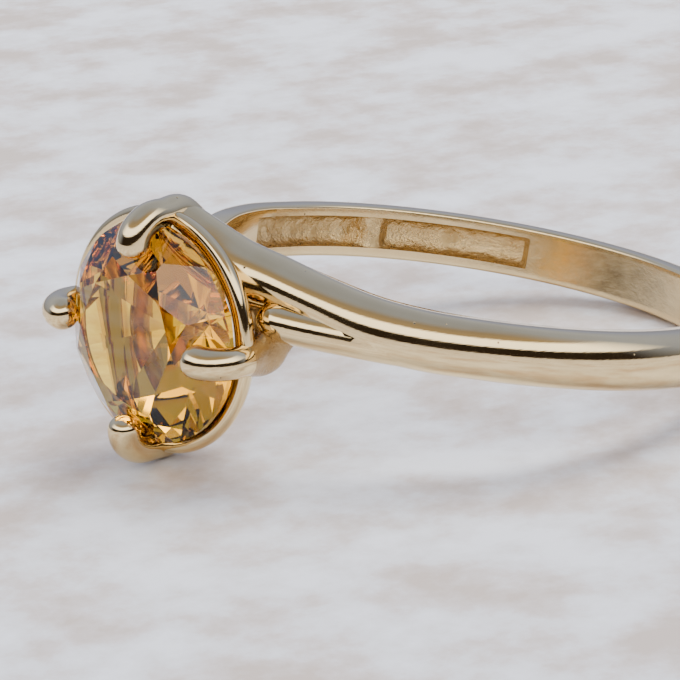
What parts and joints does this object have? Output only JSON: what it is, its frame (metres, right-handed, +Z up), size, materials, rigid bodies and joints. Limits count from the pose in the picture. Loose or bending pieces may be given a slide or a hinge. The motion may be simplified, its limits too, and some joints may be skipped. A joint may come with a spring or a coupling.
{
  "type": "engagement ring",
  "caption": "Gold crossover ring lying on its side: a slim hollow-backed band whose arms sweep over and under a claw-set round faceted amber stone.",
  "frame": {"origin": "centre of the resting footprint's bounding box, at the table the ring lies on", "axes": "+Z up from the table, +Y from the stone's end of the ring towards the back of the band, +X towards the side where the upper arm starts. The finger hole's axis leans about 14 degrees from +Z, because the head props that end up."},
  "size_m": [0.0198, 0.0244, 0.0091],
  "materials": {
    "shank_gold": "polished 9 ct yellow gold",
    "arm_over_gold": "polished 9 ct yellow gold",
    "arm_under_gold": "polished 9 ct yellow gold",
    "bearing_rail_gold": "polished 9 ct yellow gold",
    "base_rail_gold": "polished 9 ct yellow gold",
    "claw_top_gold": "polished 9 ct yellow gold",
    "claw_bottom_gold": "polished 9 ct yellow gold",
    "claw_near_gold": "polished 9 ct yellow gold",
    "claw_far_gold": "polished 9 ct yellow gold",
    "citrine": "faceted and polished"
  },
  "bodies": {
    "root": {"shank": "shank_gold", "arm_over": "arm_over_gold", "arm_under": "arm_under_gold", "bearing_rail": "bearing_rail_gold", "base_rail": "base_rail_gold", "claw_top": "claw_top_gold", "claw_bottom": "claw_bottom_gold", "claw_near": "claw_near_gold", "claw_far": "claw_far_gold", "stone": "citrine"}
  },
  "joints": []
}
